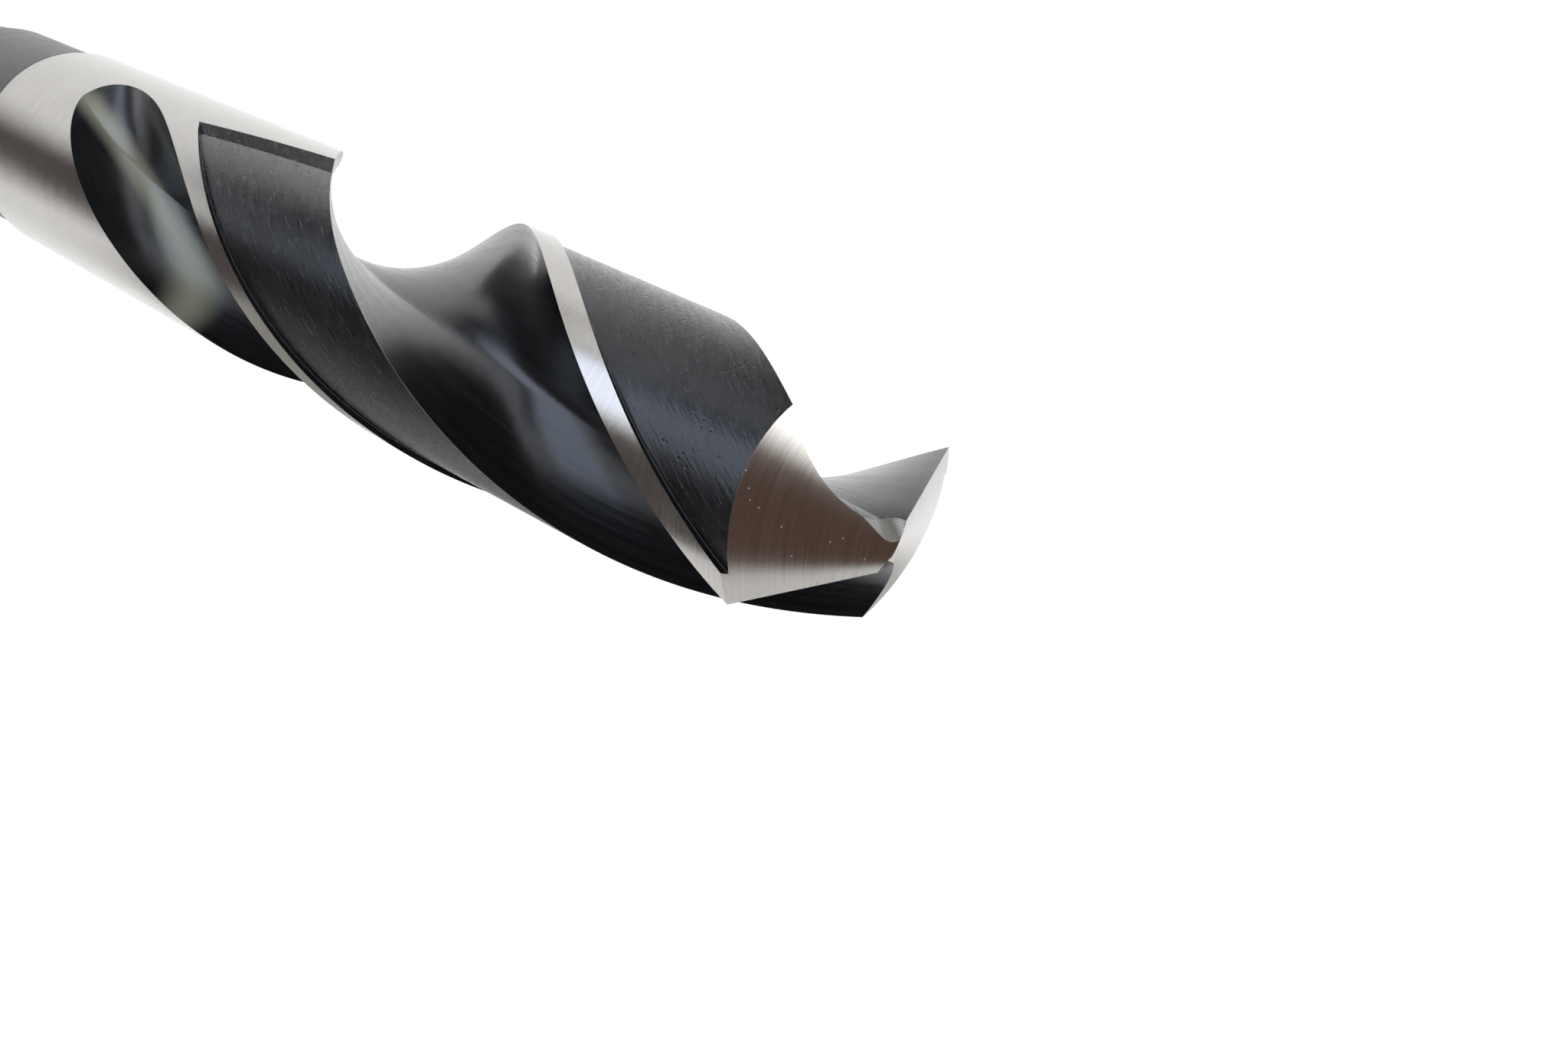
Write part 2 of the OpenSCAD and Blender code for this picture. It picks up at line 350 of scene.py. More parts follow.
class DrillForm:
    """The surfaces that the wheels grind, worked out from the sizes."""

    def __init__(self, sizes):
        self.sizes = sizes
        self.body_r = sizes.body_d / 2
        self.turn = math.tan(sizes.helix_angle) / self.body_r
        self.half_web = sizes.web_t / 2
        self.half_point = sizes.point_angle / 2
        self.margin_turn = sizes.margin_w / self.body_r
        self.lip_run = math.sqrt(self.body_r**2 - self.half_web**2)
        self.lip_turn = math.asin(self.half_web / self.body_r)
        self.place_flank_cone()
        self.corner_z = sizes.overall_l - self.point_h
        self.shoulder_z = self.corner_z - sizes.flute_l - sizes.plain_l
        self.neck_z = self.shoulder_z - sizes.neck_l
        self.shank_l = self.neck_z - sizes.taper_l
        self.neck_r = self.body_r - sizes.neck_step
        self.place_heel()
        self.full_l = sizes.flute_l - sizes.runout_l
        self.flute_start = -(self.point_h + CUT_OVER)
        self.clearance_l = sizes.flute_l - sizes.clearance_stop

    def place_flank_cone(self):
        """The lip lies on the cone, whose axis leans so that the flank falls behind the lip."""
        sizes = self.sizes
        half = sizes.flank_cone_angle
        lip_in = Vector((-math.sin(self.half_point), 0, math.cos(self.half_point)))
        lip_back = Vector((0, -math.cos(sizes.relief_angle), -math.sin(sizes.relief_angle)))
        flank_out = lip_in.cross(lip_back).normalized()
        along = (self.lip_run + sizes.flank_cone_past) / math.sin(self.half_point)
        self.cone_tip = Vector((self.lip_run, self.half_web, 0)) + along * lip_in
        self.cone_axis = -lip_in * math.cos(half) - flank_out * math.sin(half)
        foot = -self.cone_tip.xy
        foot_along = foot.dot(self.cone_axis.xy)
        a = self.cone_axis.z**2 - math.cos(half) ** 2
        b = foot_along * self.cone_axis.z
        c = foot_along**2 - math.cos(half) ** 2 * foot.dot(foot)
        self.point_h = self.cone_tip.z - (b + math.sqrt(b * b - a * c)) / a

    def place_heel(self):
        """The heel side of a flute is an arc from the heel corner to the edge of the floor."""
        sizes = self.sizes
        corner = polar(self.body_r, math.pi - sizes.land_angle)
        self.floor_edge = polar(sizes.floor_r, sizes.floor_bearing)
        chord = corner - self.floor_edge
        rise = math.sqrt(sizes.heel_r**2 - chord.length_squared / 4)
        self.heel_centre = (corner + self.floor_edge) / 2 + side(chord).normalized() * rise
        self.heel_from = bearing_of(self.floor_edge - self.heel_centre)
        self.heel_to = bearing_of(corner - self.heel_centre) - HEEL_OVERRUN
        self.flute_mid = (math.pi - sizes.land_angle) / 2

    def rake_point(self, x, web):
        """Cutting face at x along the lip, carried along the helix to the plane of the corners."""
        rise = (self.lip_run - x) / math.tan(self.half_point)
        start = math.atan2(web, x) - math.asin(web / self.body_r)
        return polar(math.hypot(x, web), start - rise * self.turn)

    def flute_outline(self, web):
        """Outline of the space that the flute wheel sweeps, in the plane of the corners."""
        root = ROOT * self.body_r
        reach = RAKE_OVERRUN * self.body_r
        floor_end = self.rake_point(root, web)
        floor_dir = floor_end - self.rake_point(2 * root, web)
        heel_dir = -side(self.floor_edge - self.heel_centre)
        across = side(floor_dir)
        pull = self.floor_edge + heel_dir * (
            across.dot(floor_end - self.floor_edge) / across.dot(heel_dir)
        )
        sweep = self.heel_from - self.heel_to
        heel = [
            self.heel_centre + polar(self.sizes.heel_r, self.heel_to + sweep * i / HEEL_STEPS)
            for i in range(HEEL_STEPS + 1)
        ]
        floor = [
            (1 - t) ** 2 * self.floor_edge + 2 * t * (1 - t) * pull + t * t * floor_end
            for t in (i / FLOOR_STEPS for i in range(1, FLOOR_STEPS + 1))
        ]
        rake = [
            self.rake_point(root + (reach - root) * (i / RAKE_STEPS) ** CROWD, web)
            for i in range(1, RAKE_STEPS + 1)
        ]
        middle = polar(MID_OUT * self.body_r, self.flute_mid)
        outer = polar(SIDE_OUT * self.body_r, self.flute_mid / 3)
        return [middle, *heel, *floor, *rake, outer]

    def wheel_shift(self, depth):
        """How far the wheel stands away: gently at the heel at first, then on an arc at the end."""
        sizes = self.sizes
        run = clamp((depth - self.full_l) / sizes.runout_l)
        climb = 1 - math.sqrt(1 - run * run)
        off_rake = (EVEN_CLIMB * run + (1 - EVEN_CLIMB) * climb) * self.body_r
        narrow_from = self.full_l - sizes.narrowing_lead
        narrowed = sizes.narrowing * ease((depth - narrow_from) / sizes.narrowing_l)
        off_heel = narrowed + HEEL_CLIMB * self.body_r * climb
        across = (off_heel - off_rake * math.cos(SIDES_ANGLE)) / math.sin(SIDES_ANGLE)
        return Vector((across, off_rake))

    def flute_section(self, share):
        """Section of the flute sweep, at a share of the way from the point to the end."""
        sizes = self.sizes
        end = sizes.flute_l
        full = (self.full_l - self.flute_start) / (end - self.flute_start)
        if share <= full:
            depth = self.flute_start + (end - self.flute_start) * share
        else:
            climbing = math.pi / 2 * (share - full) / (1 - full)
            depth = self.full_l + sizes.runout_l * math.sin(climbing)
        web = self.half_web + sizes.web_gain / 2 * clamp(depth / self.full_l)
        shift = self.wheel_shift(depth)
        lift = Vector((0, 0, self.corner_z - depth))
        return [
            turned(point + shift, -depth * self.turn).to_3d() + lift
            for point in self.flute_outline(web)
        ]

    def clearance_section(self, share):
        """Section of the body clearance. The last one makes a short ramp, on a slanting line."""
        sizes = self.sizes
        last = share > 1 - 0.5 / (CLEARANCE_STATIONS - 1)
        run_share = share * (CLEARANCE_STATIONS - 1) / (CLEARANCE_STATIONS - 2)
        section = []
        for column in range(-1, CLEARANCE_COLUMNS + 2):
            u = clamp(column / CLEARANCE_COLUMNS)
            across = self.margin_turn + (sizes.land_angle + PAST_HEEL - self.margin_turn) * u
            slant = (across - self.margin_turn) / (sizes.land_angle - self.margin_turn)
            ends = self.clearance_l - sizes.clearance_slant * slant
            depth = self.flute_start + (ends - RAMP_L - self.flute_start) * run_share
            r = self.body_r - sizes.clearance_depth - sizes.clearance_fall * u
            if last:
                depth, r = ends, self.body_r + RAMP_OUT
            if column in (-1, CLEARANCE_COLUMNS + 1):
                r = self.body_r + RIM_OUT
            foot = polar(r, -across - depth * self.turn)
            section.append(Vector((foot.x, foot.y, self.corner_z - depth)))
        middle = section[len(section) // 2]
        far = middle.xy.normalized() * SIDE_OUT * self.body_r
        return [Vector((far.x, far.y, middle.z)), *section]

    def flank_cone_frame(self, second):
        """Where the first or second flank's cone stands: its tip at the origin, and its axis up."""
        up = self.cone_axis.to_track_quat("Z", "Y").to_matrix().to_4x4()
        stand = Matrix.Translation(Vector((0, 0, self.corner_z)) + self.cone_tip) @ up
        return Matrix.Rotation(math.pi * second - self.lip_turn, 4, "Z") @ stand

    def notch_frame(self, second):
        """Where a notch's V stands: its bottom line along Z, through one end of the chisel edge."""
        heading = self.sizes.notch_heading - self.lip_turn + math.pi * second
        start = Matrix.Translation((self.sizes.chisel_l / 2, 0, self.sizes.overall_l))
        lean = Matrix.Rotation(math.pi / 2 + self.sizes.notch_slope, 4, "Y")
        return (
            Matrix.Rotation(heading, 4, "Z") @ start @ lean @ Matrix.Rotation(math.pi / 2, 4, "Z")
        )


def finished(shape, name, materials, slot=None):
    """Closes a bmesh off as an object, with its faces turned outwards."""
    bmesh.ops.remove_doubles(shape, verts=shape.verts, dist=SAME_PLACE)
    bmesh.ops.recalc_face_normals(shape, faces=shape.faces)
    for face in shape.faces:
        if slot is not None:
            face.material_index = slot
        face.smooth = True
    mesh = bpy.data.meshes.new(name)
    shape.to_mesh(mesh)
    shape.free()
    for material in materials:
        mesh.materials.append(material)
    body = bpy.data.objects.new(name, mesh)
    bpy.context.scene.collection.objects.link(body)
    return body


def turned_blank(form, materials):
    """Shank, cone, neck and body, turned from the bar."""
    sizes = form.sizes
    shank_r = sizes.shank_d / 2
    over = sizes.overall_l + CUT_OVER
    profile = [
        (0, 0),
        (shank_r - sizes.end_bevel, 0),
        (shank_r, sizes.end_bevel),
        (shank_r, form.shank_l),
        (form.neck_r, form.neck_z),
        (form.neck_r, form.shoulder_z),
        (form.body_r - sizes.shoulder_bevel, form.shoulder_z),
        (form.body_r, form.shoulder_z + sizes.shoulder_bevel),
        (form.body_r, over),
        (0, over),
    ]
    shape = bmesh.new()
    corners = [shape.verts.new((x, 0, z)) for x, z in profile]
    line = [shape.edges.new(pair) for pair in zip(corners, corners[1:])]
    bmesh.ops.spin(
        shape,
        geom=corners + line,
        cent=(0, 0, 0),
        axis=(0, 0, 1),
        angle=math.tau,
        steps=TURNED_SEGMENTS,
        use_merge=True,
    )
    for face in shape.faces:
        # The neck, its cone and the step up to the body, which lies just at the shoulder's height
        height = face.calc_center_median().z
        blackened = form.shank_l < height < form.shoulder_z + 0.01 * MM
        face.material_index = NECK if blackened else TURNED
    return finished(shape, "blank", materials)


def swept(section_at, stations, slot, materials):
    """Solid through sections. A tube is divided along its length, and each ring takes its own.

    The tube is 1 high and 1 in radius, about the origin. Its first corner is a quarter turn round.
    """
    count = len(section_at(0))
    tube = bmesh.new()
    bmesh.ops.create_cone(
        tube, cap_ends=True, cap_tris=True, segments=count, radius1=1, radius2=1, depth=1
    )
    uprights = [e for e in tube.edges if abs(e.verts[0].co.z - e.verts[1].co.z) > 0.5]
    bmesh.ops.subdivide_edges(tube, edges=uprights, cuts=stations - 2)
    sections = [section_at(i / (stations - 1)) for i in range(stations)]
    for vert in tube.verts:
        section = sections[round((vert.co.z + 0.5) * (stations - 1))]
        if vert.co.xy.length < 0.5:
            # The middle of an end cap, which lies close inside the section's first corner
            vert.co = section[0].lerp(section[count // 2], 0.02)
        else:
            vert.co = section[round((bearing_of(vert.co) / math.tau - 0.25) * count) % count]
    return finished(tube, "wheel_path", materials, slot)


def flank_cone(form, second, materials):
    """The cone that one flank is ground to."""
    tall = CONE_TALL * form.sizes.overall_l
    shape = bmesh.new()
    bmesh.ops.create_cone(
        shape,
        cap_ends=True,
        segments=FLANK_SEGMENTS,
        radius1=0,
        radius2=tall * math.tan(form.sizes.flank_cone_angle),
        depth=tall,
        matrix=form.flank_cone_frame(second) @ Matrix.Translation((0, 0, tall / 2)),
    )
    return finished(shape, "flank_cone", materials, FLANK)


def notch_wheel(form, second, materials):
    """The rim of the wheel that thins the web: a V with a rounded bottom, drawn out to a bar."""
    sizes = form.sizes
    middle = sizes.notch_angle / 2
    centre = polar(sizes.notch_r, middle - NOTCH_TOUCH)
    apex = centre - polar(sizes.notch_r / math.sin(middle), middle)
    open_turn = math.pi - sizes.notch_angle
    bottom = [
        centre + polar(sizes.notch_r, -math.pi / 2 - open_turn * i / NOTCH_SEGMENTS)
        for i in range(NOTCH_SEGMENTS + 1)
    ]
    outline = [
        apex + polar(NOTCH_REACH, 0),
        *bottom,
        apex + polar(NOTCH_REACH, sizes.notch_angle),
    ]
    shape = bmesh.new()
    rim = [shape.verts.new((p.x, p.y, -NOTCH_REACH)) for p in outline]
    face = shape.faces.new(rim)
    drawn = bmesh.ops.extrude_face_region(shape, geom=[face])["geom"]
    far = [part for part in drawn if isinstance(part, bmesh.types.BMVert)]
    bmesh.ops.translate(shape, verts=far, vec=(0, 0, 2 * NOTCH_REACH))
    bmesh.ops.transform(shape, matrix=form.notch_frame(second), verts=shape.verts)
    return finished(shape, "notch_wheel", materials, NOTCH)


def ground(blank, cutters):
    """Cuts the blank with every wheel path, in order, and returns the finished mesh."""
    for cutter, operation in cutters:
        cut = blank.modifiers.new(cutter.name, "BOOLEAN")
        cut.operation = operation
        cut.solver = "MANIFOLD"
        cut.object = cutter
    bpy.context.view_layer.update()
    seen = blank.evaluated_get(bpy.context.evaluated_depsgraph_get())
    mesh = bpy.data.meshes.new_from_object(seen)
    blank.modifiers.clear()
    for cutter, _ in cutters:
        bpy.data.meshes.remove(cutter.data)
    return mesh


def back_to_back(shape):
    """Triangles that stand two on the same three points, after a cut, and so enclose nothing."""
    on_points = {}
    for face in shape.faces:
        on_points.setdefault(frozenset(face.verts), []).append(face)
    return [face for faces in on_points.values() if len(faces) > 1 for face in faces]


def take_out_slivers(shape):
    """Takes out slivers of no area. Only the faces that hold one are split, so the rest stay."""
    trial = shape.copy()
    source = trial.faces.layers.int.new("source")
    for number, face in enumerate(trial.faces):
        face[source] = number
    bmesh.ops.triangulate(trial, faces=trial.faces)
    holders = {face[source] for face in back_to_back(trial)}
    trial.free()
    split = [face for number, face in enumerate(shape.faces) if number in holders]
    bmesh.ops.triangulate(shape, faces=split)
    bmesh.ops.delete(shape, geom=back_to_back(shape), context="FACES")


def keep_edges_crisp(mesh):
    """Marks the edges between two ground surfaces, so that the rest shades smooth."""
    shape = bmesh.new()
    shape.from_mesh(mesh)
    take_out_slivers(shape)
    for edge in shape.edges:
        slots = {face.material_index for face in edge.link_faces}
        edge.smooth = edge.calc_face_angle(0) < CRISP_BEND and len(slots) < 2
    for face in shape.faces:
        face.smooth = True
    shape.to_mesh(mesh)
    shape.free()


def add(tree, kind, inputs=(), **settings):
    """Adds a node, with its settings, and its inputs as values or as sockets to link."""
    node = tree.nodes.new(kind)
    for name, value in settings.items():
        setattr(node, name, value)
    for name, value in dict(inputs).items():
        if isinstance(value, bpy.types.NodeSocket):
            tree.links.new(value, node.inputs[name])
        else:
            node.inputs[name].default_value = value
    return node


def blend(tree, factor, low, high):
    """Colour between two others, by a socket from 0 to 1."""
    return add(
        tree, "ShaderNodeMix", {"Factor": factor, 6: low, 7: high}, data_type="RGBA"
    ).outputs[2]


def new_surface(name, **values):
    """A material with only a Principled shader, whose plain values are set on its own sockets."""
    material = bpy.data.materials.new(name)
    material.use_nodes = True
    tree = material.node_tree
    shader = tree.nodes["Principled BSDF"]
    for socket, value in values.items():
        shader.inputs[socket.replace("_", " ")].default_value = value
    return material, tree, shader


def marks(tree, place, scale, detail=3.0):
    """Noise drawn out along the grinding marks. scale has marks per metre on each axis."""
    stretched = add(tree, "ShaderNodeMapping", {"Vector": place, "Scale": scale})
    noise = add(
        tree,
        "ShaderNodeTexNoise",
        {"Vector": stretched.outputs["Vector"], "Scale": 1, "Detail": detail, "Roughness": 0.6},
    )
    return noise.outputs["Fac"]


def spread(tree, value, low, high, to_low, to_high, kind="LINEAR"):
    """Maps part of a pattern's range to a range of a shader value."""
    mapped = add(
        tree,
        "ShaderNodeMapRange",
        {"Value": value, "From Min": low, "From Max": high, "To Min": to_low, "To Max": to_high},
        interpolation_type=kind,
    )
    return mapped.outputs["Result"]


def dress(tree, shader, pattern, colours, roughness, height):
    """Lets one pattern of marks drive colour, roughness and a shallow bump."""
    tree.links.new(
        blend(tree, spread(tree, pattern, 0.35, 0.65, 0, 1), *colours), shader.inputs["Base Color"]
    )
    tree.links.new(spread(tree, pattern, 0.3, 0.7, *roughness), shader.inputs["Roughness"])
    bump = add(tree, "ShaderNodeBump", {"Height": pattern, "Distance": height, "Strength": 1})
    tree.links.new(bump.outputs["Normal"], shader.inputs["Normal"])


def object_place(tree):
    """Object coordinates, which are metres in the drill's own frame."""
    return add(tree, "ShaderNodeTexCoord").outputs["Object"]


def unwound_place(tree, form):
    """Object coordinates with the helix taken out, so that a flute runs straight along Z."""
    place = object_place(tree)
    height = add(tree, "ShaderNodeSeparateXYZ", {"Vector": place}).outputs["Z"]
    by = add(tree, "ShaderNodeMath", {0: height, 1: -form.turn}, operation="MULTIPLY")
    return add(
        tree,
        "ShaderNodeVectorRotate",
        {"Vector": place, "Angle": by.outputs[0]},
        rotation_type="Z_AXIS",
    ).outputs["Vector"]


def folded_place(tree, frame_of_first):
    """Coordinates of the first flank or notch, with the second one turned half round onto it."""
    place = object_place(tree)
    level = frame_of_first.inverted()
    parts = add(tree, "ShaderNodeSeparateXYZ", {"Vector": place})
    which = add(tree, "ShaderNodeMath", {0: parts.outputs["Y"]}, operation="SIGN").outputs[0]
    flip = add(tree, "ShaderNodeMath", {0: which, 1: -1.0}, operation="MULTIPLY").outputs[0]
    both = add(tree, "ShaderNodeCombineXYZ", {"X": flip, "Y": flip, "Z": 1.0}).outputs["Vector"]
    folded = add(
        tree, "ShaderNodeVectorMath", {0: place, 1: both}, operation="MULTIPLY"
    ).outputs["Vector"]
    return add(
        tree,
        "ShaderNodeMapping",
        {
            "Vector": folded,
            "Location": level.translation,
            "Rotation": level.to_euler("XYZ"),
        },
    ).outputs["Vector"]


def worn_edges(tree):
    """Share of rubbed-off oxide along the sharp edges, from 0 to 1."""
    rounded = add(tree, "ShaderNodeBevel", {"Radius": EDGE_WEAR}, samples=6).outputs["Normal"]
    flat = add(tree, "ShaderNodeNewGeometry").outputs["Normal"]
    along = add(
        tree, "ShaderNodeVectorMath", {0: rounded, 1: flat}, operation="DOT_PRODUCT"
    ).outputs["Value"]
    return spread(tree, along, *EDGE_BEND, 0, 1)


def wear_and_highlight(tree, shader, share, bare_or_highlight):
    """Blends the base colour that a surface has so far towards another.

    That is the steel of a worn edge, and in a run-out a painted highlight.
    """
    oxide = shader.inputs["Base Color"].links[0].from_socket
    tree.links.new(blend(tree, share, oxide, bare_or_highlight), shader.inputs["Base Color"])


def painted_run_out_highlight(tree, form):
    """Share of the painted highlight along the bottom of a run-out, from 0 to 1.

    It is the same in both flutes.
    """
    place = object_place(tree)
    height = add(tree, "ShaderNodeSeparateXYZ", {"Vector": place}).outputs["Z"]
    end_z = form.corner_z - form.sizes.flute_l
    past = add(tree, "ShaderNodeMath", {0: height, 1: end_z}, operation="SUBTRACT").outputs[0]
    square = add(tree, "ShaderNodeMath", {0: past, 1: past}, operation="MULTIPLY").outputs[0]
    start = form.sizes.flute_l * form.turn - form.flute_mid - STREAK_AHEAD
    by = add(
        tree, "ShaderNodeMath", {0: square, 1: -STREAK_CURL, 2: start}, operation="MULTIPLY_ADD"
    )
    level = add(
        tree,
        "ShaderNodeVectorRotate",
        {"Vector": place, "Angle": by.outputs[0]},
        rotation_type="Z_AXIS",
    )
    off = add(tree, "ShaderNodeSeparateXYZ", {"Vector": level.outputs["Vector"]}).outputs["Y"]
    aside = add(tree, "ShaderNodeMath", {0: off}, operation="ABSOLUTE").outputs[0]
    across = spread(tree, aside, 0, STREAK_HALF, 1, 0, "SMOOTHSTEP")
    along = spread(tree, past, *STREAK_FADE, 1, 0, "SMOOTHSTEP")
    return add(tree, "ShaderNodeMath", {0: across, 1: along}, operation="MULTIPLY").outputs[0]


def cylindrical_ground_steel(form, finishes):
    """High speed steel, ground between centres: bright, with fine marks round the cylinder.

    The marks, 0.02 mm apart on a real one, are too fine to show, so they are drawn coarser.
    """
    material, tree, shader = new_surface("cylindrical_ground_steel", Metallic=1.0)
    around = 1 / (6 * MM)
    pattern = marks(tree, object_place(tree), (around, around, 1 / finishes.turned_mark))
    colours = finishes.steel_shade, finishes.steel
    dress(tree, shader, pattern, colours, roughness=(0.15, 0.22), height=0.0006 * MM)
    return material


def polished_black_oxide(form, finishes):
    """Black oxide on a polished flute: a hard dark glaze with faint marks along the flute.

    A soft olive streak is painted along the bottom of the run-out: a painted highlight, where the
    concave flute reflects a line of light.
    """
    material, tree, shader = new_surface(
        "polished_black_oxide", IOR=1.6, Specular_Tint=finishes.oxide_sheen
    )
    across = 1 / finishes.flute_mark
    pattern = marks(tree, unwound_place(tree, form), (across, across, 1 / (9 * MM)))
    colours = finishes.oxide_shade, finishes.oxide
    dress(tree, shader, pattern, colours, roughness=(0.16, 0.26), height=0.0015 * MM)
    # Painted highlight: a light olive streak along the bottom of the run-out, set into the base colour
    wear_and_highlight(tree, shader, painted_run_out_highlight(tree, form), finishes.streak_highlight)
    wear_and_highlight(tree, shader, worn_edges(tree), finishes.edge_worn)
    return material


def milled_black_oxide(form, finishes):
    """Black oxide on the body clearance: the cutter's ridges and a few pits show through it.

    Its edges are rubbed down to the steel, which gives them a thin grey line.
    """
    material, tree, shader = new_surface(
        "milled_black_oxide", IOR=1.5, Specular_Tint=finishes.oxide_sheen
    )
    across = 1 / finishes.land_mark
    place = unwound_place(tree, form)
    ridges = marks(tree, place, (across, across, 1 / (1.6 * MM)), detail=4.0)
    cells = add(
        tree, "ShaderNodeTexVoronoi", {"Vector": object_place(tree), "Scale": 1 / finishes.pit_gap}
    )
    pits = spread(tree, cells.outputs["Distance"], *PIT_RIM, 0, 1)
    both = add(tree, "ShaderNodeMath", {0: ridges, 1: pits}, operation="MULTIPLY").outputs[0]
    colours = finishes.oxide_shade, finishes.oxide_land
    dress(tree, shader, both, colours, roughness=(0.16, 0.3), height=0.024 * MM)
    wear_and_highlight(tree, shader, worn_edges(tree), finishes.edge_worn)
    return material


def flank_ground_steel(form, finishes):
    """High speed steel, ground on the flat of a wheel: bright, with marks from heel to lip.

    Specks of grinding dust lie on it, which look dull and pale. The marks, 0.02 mm apart on a real
    flank, are too fine to show, so they are drawn coarser.
    """
    material, tree, shader = new_surface("flank_ground_steel", Metallic=1.0)
    along = 1 / (5 * MM)
    place = folded_place(tree, form.flank_cone_frame(0))
    pattern = marks(tree, place, (along, along, 1 / finishes.flank_mark))
    colours = finishes.steel_shade, finishes.steel
    dress(tree, shader, pattern, colours, roughness=(0.13, 0.16), height=0.00004 * MM)
    often = 1 / finishes.speck_gap
    cells = add(tree, "ShaderNodeTexVoronoi", {"Vector": object_place(tree), "Scale": often})
    specks = spread(tree, cells.outputs["Distance"], *SPECK_RIM, SPECK_ROUGH, 0)
    polish = shader.inputs["Roughness"].links[0].from_socket
    dusty = add(tree, "ShaderNodeMath", {0: polish, 1: specks}, operation="MAXIMUM").outputs[0]
    tree.links.new(dusty, shader.inputs["Roughness"])
    return material


def notch_ground_steel(form, finishes):
    """High speed steel, ground with a narrow wheel: duller and paler, with marks along the notch.

    The marks are drawn as coarse as those of the flanks.
    """
    material, tree, shader = new_surface("notch_ground_steel", Metallic=1.0)
    across = 1 / finishes.flank_mark
    place = folded_place(tree, form.notch_frame(0))
    pattern = marks(tree, place, (across, across, 1 / (4 * MM)))
    colours = finishes.steel, finishes.steel_notch
    dress(tree, shader, pattern, colours, roughness=(0.42, 0.55), height=0.0012 * MM)
    return material


def turned_black_oxide(form, finishes):
    """Black oxide on a turned neck: satin black, with the turning marks under it."""
    material, tree, shader = new_surface("turned_black_oxide", IOR=1.6)
    around = 1 / (8 * MM)
    pattern = marks(tree, object_place(tree), (around, around, 1 / finishes.neck_mark))
    colours = finishes.oxide_shade, finishes.oxide_land
    dress(tree, shader, pattern, colours, roughness=(0.3, 0.42), height=0.004 * MM)
    return material


class DRILL_OT_bit(bpy.types.Operator):
    """Turn, flute and grind the drill"""

    bl_idname = "twist_drill.bit"
    bl_label = "Grind the drill"

    def execute(self, context):
        form = DrillForm(context.scene.drill_sizes)
        finishes = context.scene.drill_finishes
        materials = [
            make(form, finishes)
            for make in (
                cylindrical_ground_steel,
                polished_black_oxide,
                milled_black_oxide,
                flank_ground_steel,
                notch_ground_steel,
                turned_black_oxide,
            )
        ]
        drill = turned_blank(form, materials)
        flute = swept(form.flute_section, FLUTE_STATIONS, FLUTE, materials)
        land = swept(form.clearance_section, CLEARANCE_STATIONS, LAND, materials)
        cutters = [(flank_cone(form, second, materials), "INTERSECT") for second in (0, 1)]
        for cutter in (flute, land):
            other = cutter.copy()
            other.data = cutter.data.copy()
            other.data.transform(Matrix.Rotation(math.pi, 4, "Z"))
            context.scene.collection.objects.link(other)
            cutters += [(cutter, "DIFFERENCE"), (other, "DIFFERENCE")]
        cutters += [(notch_wheel(form, second, materials), "DIFFERENCE") for second in (0, 1)]
        drill.data = ground(drill, cutters)
        drill.name = drill.data.name = "ground_drill"
        keep_edges_crisp(drill.data)
        if len(drill.data.polygons) < TURNED_SEGMENTS:
            raise RuntimeError("the drill came out empty")
        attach(drill, "root")
        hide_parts("drill_bit")
        return {"FINISHED"}


def sheet_object(name, size, height):
    """A level square round the axis, as an object that isn't part of the drill."""
    shape = bmesh.new()
    lift = Matrix.Translation((0, 0, height))
    bmesh.ops.create_grid(shape, x_segments=1, y_segments=1, size=size, matrix=lift)
    mesh = bpy.data.meshes.new(name)
    shape.to_mesh(mesh)
    shape.free()
    sheet = bpy.data.objects.new(name, mesh)
    bpy.context.scene.collection.objects.link(sheet)
    return sheet


def screen_object(name, radius, low, high, start, end):
    """An upright curved screen round the axis, between two bearings in degrees."""
    shape = bmesh.new()
    place = polar(radius, math.radians(start))
    ends = [shape.verts.new((place.x, place.y, z)) for z in (low, high)]
    post = [shape.edges.new(ends)]
    bmesh.ops.spin(
        shape,
        geom=ends + post,
        cent=(0, 0, 0),
        axis=(0, 0, 1),
        angle=math.radians(end - start),
        steps=SCREEN_STEPS,
    )
    mesh = bpy.data.meshes.new(name)
    shape.to_mesh(mesh)
    shape.free()
    screen = bpy.data.objects.new(name, mesh)
    bpy.context.scene.collection.objects.link(screen)
    return screen


def level_edges(edges):
    """Edges of a card, from bearings in degrees and distances in millimetres."""
    return [(plan(bearing), start * MM, whole * MM) for bearing, start, whole in edges]


def make_card(board, card_colour, edges, strength=1.0):
    """Makes a card that only reflections show. It fades in across each of its edges.

    An edge is the direction that the card lies towards, and the distances along that direction
    where the card starts and where it is whole.
    """
    material = bpy.data.materials.new(board.name)
    material.use_nodes = True
    tree = material.node_tree
    tree.nodes.clear()
    place = object_place(tree)
    mask = 1
    for inward, start, whole in edges:
        reach = add(
            tree, "ShaderNodeVectorMath", {0: place, 1: inward}, operation="DOT_PRODUCT"
        ).outputs["Value"]
        fade = spread(tree, reach, start, whole, 0, 1, "SMOOTHSTEP")
        mask = add(tree, "ShaderNodeMath", {0: mask, 1: fade}, operation="MULTIPLY").outputs[0]
    clear = add(tree, "ShaderNodeBsdfTransparent").outputs[0]
    glow = add(tree, "ShaderNodeEmission", {"Color": card_colour, "Strength": strength}).outputs[0]
    mix = add(tree, "ShaderNodeMixShader", {0: mask, 1: clear, 2: glow}).outputs[0]
    add(tree, "ShaderNodeOutputMaterial", {"Surface": mix})
    board.data.materials.append(material)
    board.visible_camera = False
    board.visible_diffuse = False
    board.visible_shadow = False


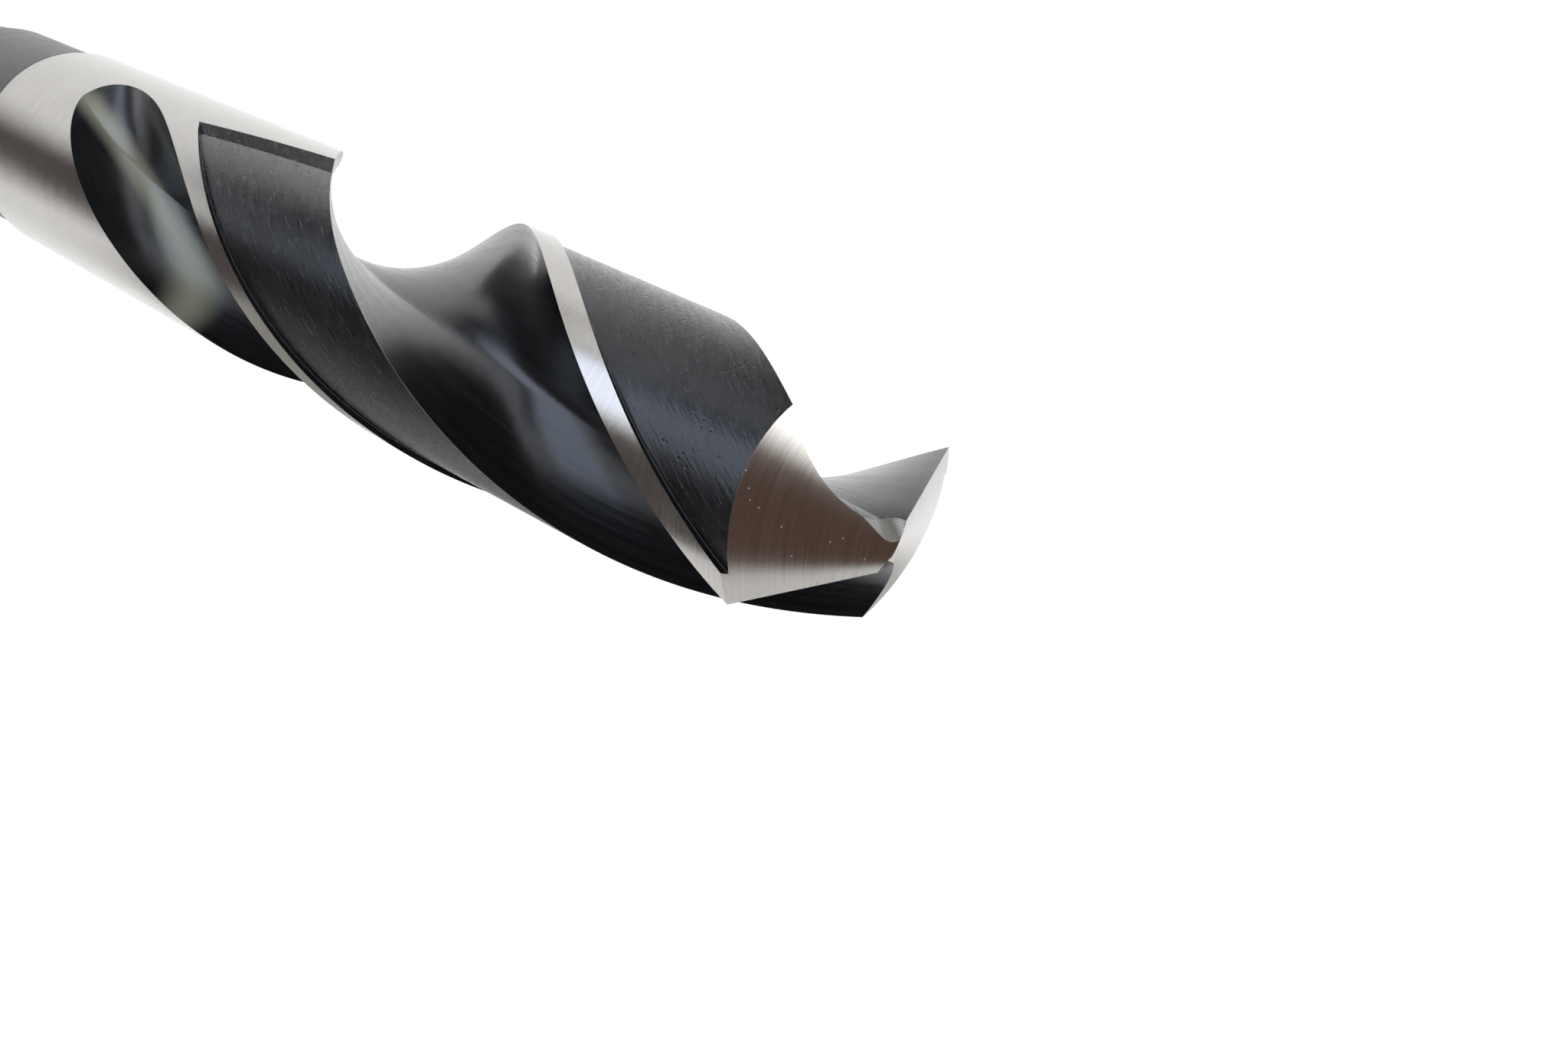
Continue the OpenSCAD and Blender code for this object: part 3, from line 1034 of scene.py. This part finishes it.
class DRILL_OT_studio(bpy.types.Operator):
    """Lay the floor, hang the cards and the soft box, and set the camera"""

    bl_idname = "twist_drill.studio"
    bl_label = "Set up the studio"

    def execute(self, context):
        studio = context.scene.drill_studio
        self.lay_floor(studio)
        self.hang_cards(studio)
        self.light(context, studio)
        self.set_camera(context, studio)
        context.scene.view_settings.view_transform = "Standard"
        return {"FINISHED"}

    def lay_floor(self, studio):
        """Plain pale floor. Part of its white is its own, so its shadow stays soft."""
        floor = sheet_object("floor", FLOOR_HALF, 0)
        material, _, _ = new_surface(
            "painted_floor",
            Base_Color=studio.floor_colour,
            Roughness=0.9,
            Specular_IOR_Level=0.0,
            Emission_Color=(1, 1, 1, 1),
            Emission_Strength=FLOOR_GLOW,
        )
        floor.data.materials.append(material)

    def hang_cards(self, studio):
        """What the drill reflects: brown over the point, and dark and bright cards round it."""
        overhead = sheet_object("overhead_card", OVERHEAD_HALF, studio.card_height)
        make_card(overhead, studio.overhead_colour, level_edges(OVERHEAD_EDGES))
        for name, shade, half, height, edges in FLOOR_CARDS:
            card = sheet_object(name, half * MM, height * MM)
            strength = studio.window_strength if name == "window_card" else 1.0
            make_card(card, getattr(studio, shade), level_edges(edges), strength)
        screen = screen_object("dark_screen", SCREEN_R, 0, SCREEN_TOP, *SCREEN_TURN)
        fade_out, top = SCREEN_FADE_OUT
        upright = [((0, 0, 1), *SCREEN_FADE_IN), ((0, 0, -1), -top, -fade_out)]
        make_card(screen, studio.screen_colour, upright + level_edges(SCREEN_EDGES))

    def light(self, context, studio):
        """White surroundings, and one soft box behind the left of the point."""
        world = bpy.data.worlds.new("white_room")
        world.use_nodes = True
        world.node_tree.nodes["Background"].inputs["Color"].default_value = (1, 1, 1, 1)
        world.cycles.sampling_method = "NONE"
        context.scene.world = world
        box = bpy.data.lights.new("soft_box", "AREA")
        box.shape = "RECTANGLE"
        box.size = box.size_y = studio.box_side
        box.energy = studio.key_strength * math.pi * box.size * box.size_y
        lamp = bpy.data.objects.new("soft_box", box)
        level = polar(math.cos(studio.box_rise), studio.box_bearing)
        direction = Vector((level.x, level.y, math.sin(studio.box_rise)))
        lamp.location = Vector((0, 0, studio.box_aim)) + direction * studio.box_away
        lamp.rotation_euler = direction.to_track_quat("Z", "Y").to_euler()
        context.scene.collection.objects.link(lamp)

    def set_camera(self, context, studio):
        """Close camera, which looks down along the drill from beside its point."""
        data = bpy.data.cameras.new("camera")
        data.lens = studio.lens
        data.sensor_fit = "HORIZONTAL"
        data.sensor_width = SENSOR
        data.clip_start, data.clip_end = CLIP
        camera = bpy.data.objects.new("camera", data)
        camera.location = studio.camera_place
        camera.rotation_euler = Euler(studio.camera_turn, "XYZ")
        context.scene.collection.objects.link(camera)
        context.scene.camera = camera


class DRILL_PT_panel(bpy.types.Panel):
    """The drill's steps, in order"""

    bl_idname = "DRILL_PT_panel"
    bl_label = "Twist Drill"
    bl_space_type = "VIEW_3D"
    bl_region_type = "UI"
    bl_category = "Twist Drill"

    def draw(self, context):
        for step in (DRILL_OT_bit, DRILL_OT_studio):
            self.layout.operator(step.bl_idname)


CLASSES = (
    DrillSizes,
    DrillFinishes,
    DrillStudio,
    DRILL_OT_bit,
    DRILL_OT_studio,
    DRILL_PT_panel,
)


def register():
    """Registers the classes, and keeps their settings on the scene."""
    for cls in CLASSES:
        bpy.utils.register_class(cls)
    bpy.types.Scene.drill_sizes = PointerProperty(type=DrillSizes)
    bpy.types.Scene.drill_finishes = PointerProperty(type=DrillFinishes)
    bpy.types.Scene.drill_studio = PointerProperty(type=DrillStudio)


def unregister():
    """Takes back what register did."""
    del bpy.types.Scene.drill_studio
    del bpy.types.Scene.drill_finishes
    del bpy.types.Scene.drill_sizes
    for cls in reversed(CLASSES):
        bpy.utils.unregister_class(cls)


def main():
    """Builds everything."""
    register()
    bpy.ops.twist_drill.bit()
    bpy.ops.twist_drill.studio()


if __name__ == "__main__":
    main()
